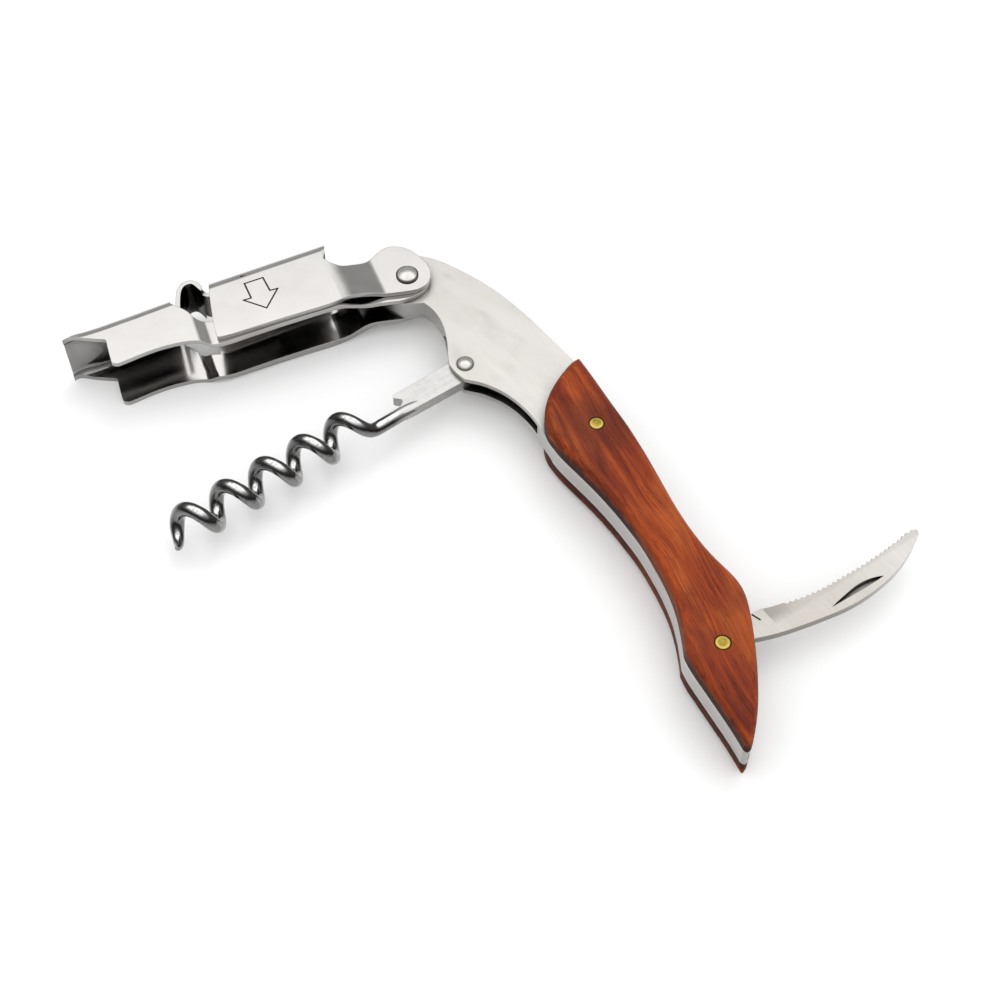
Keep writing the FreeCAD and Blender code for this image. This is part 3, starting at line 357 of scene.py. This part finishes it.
def strip_steel(name):
    mat = Material(name)
    point = mat.coords()
    grain = mat.streaks(point, stretch=(2.4, 2.4, 9.0), detail=3.0, rough=0.6)
    fine = mat.noise(point, scale=6.0, detail=2.0, rough=0.6)
    steel = (0.66, 0.645, 0.64)
    light = tuple(channel * 1.22 for channel in steel)
    color = mat.wash(steel, grain, span=(0.3, 0.7), strength=0.5, shade=light)
    normal = mat.bump(fine, depth=0.006, normal=mat.bevel(radius=0.05))
    rough = mat.remap(grain, span=(0.3, 0.7), to=(0.42, 0.55))
    return mat.surface(color=color, rough=rough, metal=1.0, normal=normal)


# the arrow's groove in the push sleeve, mm
ARROW_X = (6.0, 14.6)      # from the sleeve's low x side
ARROW_Y = (6.5, 15.2)      # from the sleeve's low y side
ARROW_DEPTH = (0.02, 0.17) # below the sleeve's top


def arrow_mask(mat, point):
    """1 inside the arrow's groove."""
    low, high = (corner * MM for corner in (Corner(c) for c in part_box("push_sleeve")))
    axes = mat.xyz(point)
    inside_z = mat.mul(mat.below(axes[2], high.z - ARROW_DEPTH[0]),
                       mat.above(axes[2], high.z - ARROW_DEPTH[1]))
    inside_x = mat.mul(mat.above(axes[0], low.x + ARROW_X[0]),
                       mat.below(axes[0], low.x + ARROW_X[1]))
    inside_y = mat.mul(mat.above(axes[1], low.y + ARROW_Y[0]),
                       mat.below(axes[1], low.y + ARROW_Y[1]))
    return mat.mul(inside_z, inside_x, inside_y)


class Corner:
    """A box corner that scales at full precision."""

    def __init__(self, place):
        self.x, self.y, self.z = place

    def __mul__(self, factor):
        return Corner((self.x * factor, self.y * factor, self.z * factor))


def lever_steel(name, arrow=False):
    mat = Material(name)
    point = mat.coords()
    lines = mat.streaks(point, turn=-24, stretch=(0.05, 5.0, 5.0), detail=3.0, rough=0.6)
    haze = mat.noise(point, scale=0.16, detail=3.0)
    scratch = mat.streaks(point, turn=31, stretch=(0.10, 9.0, 9.0))
    scratch = mat.remap(scratch, span=(0.68, 0.76))
    color = mat.ramp(haze, [(0.3, (0.640, 0.620, 0.605)), (0.7, (0.700, 0.684, 0.668))])
    # painted shade: near black deep in the channel and other hollows of the same part
    in_open = mat.openness(reach=8.0, span=(0.66, 0.965), samples=8)
    color = mat.mix(in_open, (0.014, 0.012, 0.011), color)
    rough = mat.add(mat.remap(haze, span=(0.3, 0.7), to=(0.10, 0.16)), mat.mul(scratch, 0.08))
    normal = mat.bump(lines, depth=0.0012, normal=mat.bevel(radius=0.13, samples=8))
    normal = mat.bump(haze, depth=0.010, normal=normal)
    if arrow:
        # dark etch in the groove
        ink = arrow_mask(mat, point)
        color = mat.mix(ink, color, (0.06, 0.055, 0.05))
        rough = mat.math("MAXIMUM", rough, mat.mul(ink, 0.6))
    return mat.surface(color=color, rough=rough, metal=1.0, normal=normal)


def chrome(mat, point, wire=None):
    """Colour, roughness and normal; a wire mask gives deeper waves on the wire alone."""
    wave = mat.noise(point, scale=0.9)
    pit = mat.noise(point, scale=5.0, detail=3.0, rough=0.6)
    normal = mat.bevel(radius=0.08)
    if wire:
        normal = mat.bump(mat.mul(wave, wire), depth=0.02, normal=normal)
    else:
        normal = mat.bump(wave, depth=0.006, normal=normal)
    normal = mat.bump(pit, depth=0.0008, normal=normal)
    color = mat.ramp(wave, [(0.3, (0.55, 0.545, 0.54)), (0.7, (0.63, 0.625, 0.62))])
    return color, mat.remap(pit, span=(0.3, 0.7), to=(0.045, 0.11)), normal


WIRE_FROM = 14.5   # distance from the worm's hinge where the wire begins, mm
WIRE_FADE = 4.0


def worm_chrome(name):
    """Satin near the hinge; along the wire, nickel whose colour is darkened and brightened by
    painted reflections.
    """
    mat = Material(name)
    point = mat.coords()
    from_hinge = mat.distance(point, HINGE["worm_hinge"])
    wire = mat.remap(from_hinge, span=(WIRE_FROM, WIRE_FROM + WIRE_FADE))
    color, rough, normal = chrome(mat, point, wire)
    # painted reflection: the wire's colour is scaled by the direction it mirrors, darkest just
    # above level and brightest near overhead
    upward = mat.xyz(mat.texco.outputs["Reflection"])[2]
    painted_reflection_gain = mat.ramp(mat.math("MULTIPLY_ADD", upward, 0.5, 0.5),
                    [(0.0, 0.80), (0.30, 0.55), (0.44, 0.26), (0.64, 0.13), (0.73, 0.30),
                     (0.80, 0.80), (0.86, 1.05), (0.92, 1.40), (1.0, 1.25)])
    rough = mat.add(rough, mat.mul(mat.sub(1.0, wire), 0.20))
    color = mat.mix(1.0, color, mat.mix(wire, (1.0, 1.0, 1.0), painted_reflection_gain), "MULTIPLY")
    fine = mat.streaks(point, turn=-37, stretch=(0.9, 3.0, 3.0), detail=3.0, rough=0.6)
    fine = mat.remap(fine, span=(0.52, 0.66), to=(0.0, 0.50))
    color = mat.mix(mat.mul(wire, fine), color, (0.10, 0.095, 0.09))
    satin = mat.streaks(point, turn=-36, stretch=(0.25, 2.0, 2.0), detail=3.0, rough=0.55)
    satin = mat.remap(satin, span=(0.35, 0.65), to=(0.0, 0.6))
    color = mat.mix(mat.mul(mat.sub(1.0, wire), satin), color, (0.66, 0.645, 0.62))
    return mat.surface(color=color, rough=rough, metal=1.0, normal=normal)


def rivet_chrome(name, node=None, painted_rim_strength=0.0):
    """Bright rivet; with a node, its head is warmer, stained and has a dark rim of painted
    reflection.
    """
    mat = Material(name)
    point = mat.coords()
    color, rough, normal = chrome(mat, point)
    if node:
        middle, radius = rivet_head(node)
        away = mat.distance(point, middle)
        # painted reflection: a dark rim round the edge of the dome
        painted_rim = mat.mul(mat.remap(away, span=(radius * 0.80, radius * 0.93)),
                      mat.below(away, radius * 1.12))
        color = mat.tint(color, mat.below(away, radius * 0.86), strength=0.8,
                         shade=(0.74, 0.725, 0.69))
        stain = mat.remap(mat.noise(point, scale=1.1), span=(0.45, 0.65))
        color = mat.tint(color, stain, strength=0.35, shade=(0.50, 0.47, 0.40))
        color = mat.tint(color, painted_rim, strength=painted_rim_strength, shade=(0.04, 0.035, 0.03))
        rough = mat.math("MAXIMUM", rough, mat.mul(mat.below(away, radius * 1.12), 0.30))
    return mat.surface(color=color, rough=rough, metal=1.0, normal=normal)


BLADE_TURN = 34.5                           # frame of the plunge line, degrees about Z
PLUNGE_DRAWN = Vector((46.2, -26.1, 0.0))   # a point of the plunge line, drawing mm


def knife_steel(name):
    mat = Material(name)
    point = mat.coords()
    # grinding lines run across the blade
    lines = mat.streaks(point, turn=55, stretch=(0.12, 6.0, 6.0), detail=4.0, rough=0.6)
    cloud = mat.noise(point, scale=0.25, detail=3.0)
    color = mat.ramp(cloud, [(0.3, (0.475, 0.450, 0.418)), (0.7, (0.530, 0.505, 0.472))])
    color = mat.wash(color, lines, span=(0.35, 0.65), strength=0.20, shade=(0.58, 0.565, 0.54))
    color = mat.wash(color, mat.noise(point, scale=0.30), span=(0.45, 0.62), strength=0.30,
                     shade=(0.53, 0.47, 0.44))
    # brighter towards the point
    from_tip = mat.distance(point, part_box("foil_knife")[1])
    color = mat.wash(color, from_tip, span=(22.0, 4.0), strength=0.75, shade=(0.64, 0.62, 0.60))

    # the ground face is darkest just past the plunge line
    start = (ORIGIN + PLUNGE_DRAWN / MM) * MM
    cos, sin = math.cos(math.radians(BLADE_TURN)), math.sin(math.radians(BLADE_TURN))
    axes = mat.xyz(mat.mapping(point, turn=-BLADE_TURN))
    past = mat.sub(axes[0], start.x * cos + start.y * sin)
    across = mat.sub(axes[1], -start.x * sin + start.y * cos)
    plunge = mat.mul(mat.remap(past, span=(-0.1, 0.15)), mat.remap(past, span=(7.0, 0.3)),
                     mat.remap(across, span=(0.2, 2.6)))
    color = mat.tint(color, plunge, strength=0.62, shade=(0.24, 0.225, 0.195))
    color = mat.wash(color, across, span=(1.5, 7.5), strength=0.38, shade=(0.31, 0.295, 0.27),
                     smooth=False)
    # painted shade: dark in the knife's own hollows and creases
    in_open = mat.openness(reach=1.2, span=(0.45, 0.88), samples=8)
    color = mat.mix(in_open, (0.06, 0.052, 0.045), color)
    normal = mat.bump(lines, depth=0.005, normal=mat.bevel(radius=0.06))
    rough = mat.remap(lines, span=(0.3, 0.7), to=(0.26, 0.38))
    return mat.surface(color=color, rough=rough, metal=1.0, normal=normal)


# distances from a pin's centre, mm
PIN_HIGHLIGHT = ((0.70, 0.92), (1.22, 1.02))   # painted highlight: a bright rim that fades in, and out
PIN_RING = (1.12, 1.28)                  # the dark ring fades in


def brass(node):
    mat = Material("brass_" + node)
    point = mat.coords()
    cloud = mat.noise(point, scale=1.6, detail=4.0, rough=0.6)
    lines = mat.streaks(point, turn=40, stretch=(0.3, 9.0, 9.0))
    away = mat.distance(point, centre(node))
    color = mat.ramp(cloud, [(0.35, (0.27, 0.19, 0.030)), (0.65, (0.50, 0.36, 0.065))])
    # painted highlight: a bright gold ring on the pin's head
    painted_rim = mat.mul(*(mat.remap(away, span) for span in PIN_HIGHLIGHT))
    color = mat.tint(color, painted_rim, strength=0.75, shade=(0.66, 0.50, 0.16))
    ring = mat.remap(away, span=PIN_RING)
    color = mat.tint(color, ring, strength=0.85, shade=(0.05, 0.03, 0.012))
    normal = mat.bump(lines, depth=0.004, normal=mat.bevel(radius=0.10))
    normal = mat.bump(cloud, depth=0.01, normal=normal)
    rough = mat.remap(cloud, span=(0.3, 0.7), to=(0.28, 0.42))
    return mat.surface(color=color, rough=rough, metal=1.0, normal=normal)


MATS = {
    "front_liner": bolster("bolster_satin"),
    "lever_arm": lever_steel("lever_polished"),
    "push_sleeve": lever_steel("sleeve_polished", arrow=True),
    "worm": worm_chrome("worm_chrome"),
    "foil_knife": knife_steel("knife_satin"),
    "front_scale": rosewood("rosewood_front", seed=1.0),
    "back_scale": rosewood("rosewood_back", seed=2.4),
    "backspring": strip_steel("strip_brushed"),
    "lever_rivet": rivet_chrome("rivet_bright", "lever_rivet", painted_rim_strength=0.88),
    "worm_rivet": rivet_chrome("worm_rivet_bright", "worm_rivet", painted_rim_strength=0.50),
    "spring_rivet": rivet_chrome("spring_rivet_bright"),
    "head_pin": brass("head_pin"),
    "tail_pin": brass("tail_pin"),
}
MATS["back_liner"] = MATS["front_liner"]
MATS["sleeve_spring"] = MATS["lever_arm"]
MATS["head_spacer"] = MATS["knife_washers"] = MATS["backspring"]

for node_name, obj in NODES.items():
    obj.data.materials.clear()
    obj.data.materials.append(MATS[node_name])
    for polygon in obj.data.polygons:
        polygon.material_index = 0


# ---------------------------------------------------------------------------
# floor
# ---------------------------------------------------------------------------
FLOOR_Z = CAD_BOX[0].z - 0.00002   # just clear of the lowest point
FLOOR_HALF = 4.0


def floor_paper():
    mat = Material("floor_paper")
    geometry = mat.new("ShaderNodeNewGeometry")
    rays = mat.new("ShaderNodeLightPath")
    from_origin = mat.vector_math("LENGTH", geometry.outputs["Position"])
    tooth = mat.noise(mat.coords(), scale=1.8, detail=3.0, rough=0.6)
    paper = mat.ramp(tooth, [(0.3, 0.915), (0.7, 0.93)])
    # painted shade in reflections: seen in the metal, the lit paper is painted darker with
    # distance, as if it ended in a dark room, and painted dimmer on the viewer's side
    near = mat.remap(from_origin, span=(0.10, 0.34), to=(1.0, 0.10))
    incoming_y = mat.xyz(geometry.outputs["Incoming"])[1]
    toward = mat.remap(incoming_y, span=(-0.15, 0.15), to=(1.0, 0.60))
    mirrored = mat.mix(mat.mul(near, toward), (0.02, 0.02, 0.02), paper)
    paper = mat.mix(rays.outputs["Is Glossy Ray"], paper, mirrored)
    # a slight glow, for the camera only
    glow = mat.mul(rays.outputs["Is Camera Ray"], 0.07)
    mat.put(mat.bsdf.inputs["Emission Color"], (1, 1, 1, 1))
    mat.put(mat.bsdf.inputs["Emission Strength"], glow)
    return mat.surface(color=paper, rough=0.9, spec=0.1)


def add_floor():
    mesh = bpy.data.meshes.new("floor")
    sheet = bmesh.new()
    sheet.faces.new([sheet.verts.new((x * FLOOR_HALF, y * FLOOR_HALF, FLOOR_Z))
                     for x, y in ((-1, -1), (1, -1), (1, 1), (-1, 1))])
    sheet.to_mesh(mesh)
    sheet.free()
    floor = bpy.data.objects.new("floor", mesh)
    bpy.context.scene.collection.objects.link(floor)
    mesh.materials.append(floor_paper())


# ---------------------------------------------------------------------------
# light: a bright overhead dome and one soft key
# ---------------------------------------------------------------------------
# brightness against the Z of the direction. The metal mirrors a soft box overhead and
# behind, a dim wall behind and a dark room on the viewer's side
MIRROR_BEHIND = [(0.0, 0.50), (0.45, 0.38), (0.575, 0.34), (0.64, 0.62), (0.72, 1.20),
                 (0.80, 1.60), (0.88, 1.70), (0.94, 1.45), (1.0, 1.30)]
MIRROR_FRONT = [(0.0, 0.16), (0.50, 0.24), (0.70, 0.42), (0.85, 0.80), (0.94, 1.25),
                (1.0, 1.30)]
# the dome lights the paper and the wood, and comes down lower on the viewer's side, so
# the shadows stay short and pale
DOME_BEHIND = [(0.0, 0.40), (0.25, 0.60), (0.45, 0.90), (0.62, 1.12), (1.0, 1.20)]
DOME_FRONT = [(0.0, 0.60), (0.25, 0.95), (0.45, 1.10), (0.62, 1.18), (1.0, 1.20)]


def add_world():
    world = bpy.data.worlds.new("studio")
    bpy.context.scene.world = world
    world.use_nodes = True
    sky = Graph(world.node_tree)
    output = sky.new("ShaderNodeOutputWorld")
    background = sky.new("ShaderNodeBackground")
    sky.put(output.inputs[0], background.outputs[0])
    direction = sky.new("ShaderNodeTexCoord").outputs["Generated"]
    height = sky.xyz(direction)[2]

    def bands(stops):
        """Grey ramp, a touch warmer between its ends."""
        inner = [(place, (v, v, v * 0.995)) for place, v in stops[1:-1]]
        return sky.ramp(height, [stops[0], *inner, stops[-1]])

    level = sky.vector_math("NORMALIZE", sky.vector_math("MULTIPLY", direction, (1, 1, 0)))
    behind = sky.remap(sky.xyz(level)[1], span=(-0.35, 0.45))
    mirror = sky.mix(behind, bands(MIRROR_FRONT), bands(MIRROR_BEHIND))
    dome = sky.mix(behind, bands(DOME_FRONT), bands(DOME_BEHIND))
    rays = sky.new("ShaderNodeLightPath")
    seen = sky.mix(rays.outputs["Is Glossy Ray"], dome, mirror)
    seen = sky.mix(rays.outputs["Is Camera Ray"], seen, (0.93, 0.93, 0.93))
    sky.put(background.inputs[0], seen)
    background.inputs[1].default_value = 1.0
    world.cycles.sampling_method = "NONE"


def add_key():
    light = bpy.data.lights.new("key", "SUN")
    light.energy = 0.28
    light.angle = math.radians(26)
    key = bpy.data.objects.new("key", light)
    bpy.context.scene.collection.objects.link(key)
    key.rotation_mode = "QUATERNION"
    toward_sun = Vector((0.22, 0.55, 1.0))
    key.rotation_quaternion = toward_sun.to_track_quat("Z", "Y")
    key.visible_glossy = False


def add_camera():
    lens = bpy.data.cameras.new("camera")
    lens.sensor_width = 36.0
    lens.lens = 59.65
    lens.clip_start, lens.clip_end = 0.01, 20.0
    camera = bpy.data.objects.new("camera", lens)
    bpy.context.scene.collection.objects.link(camera)
    camera.location = ORIGIN + Vector((0.0, -0.1667, 0.2381))
    camera.rotation_mode = "QUATERNION"
    camera.rotation_quaternion = (ORIGIN - camera.location).to_track_quat("-Z", "Y")
    bpy.context.scene.camera = camera


add_floor()
add_world()
add_key()
add_camera()
bpy.context.scene.view_settings.view_transform = "Standard"
